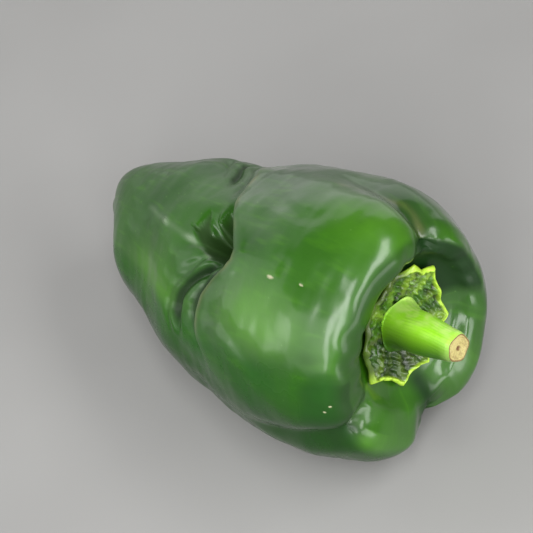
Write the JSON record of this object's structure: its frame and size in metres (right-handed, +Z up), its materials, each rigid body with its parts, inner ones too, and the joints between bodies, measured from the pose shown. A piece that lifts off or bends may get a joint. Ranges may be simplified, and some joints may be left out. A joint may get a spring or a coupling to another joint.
{
  "type": "poblano pepper",
  "caption": "Whole fresh poblano pepper lying on its side: a lobed, creased, glossy dark green pod with a sunken crown, a scalloped calyx and a short cut stem.",
  "frame": {"origin": "centre of the bounding box's base, on the surface that the pepper lies on", "axes": "+X along the pepper towards the stem, +Z up, -Y towards the side that the picture shows"},
  "size_m": [0.1133, 0.0631, 0.0618],
  "materials": {
    "pod_skin": "gloss",
    "calyx": "satin",
    "stem": "satin"
  },
  "bodies": {
    "root": {"pod": "pod_skin", "calyx": "calyx", "stem": "stem"}
  },
  "joints": []
}
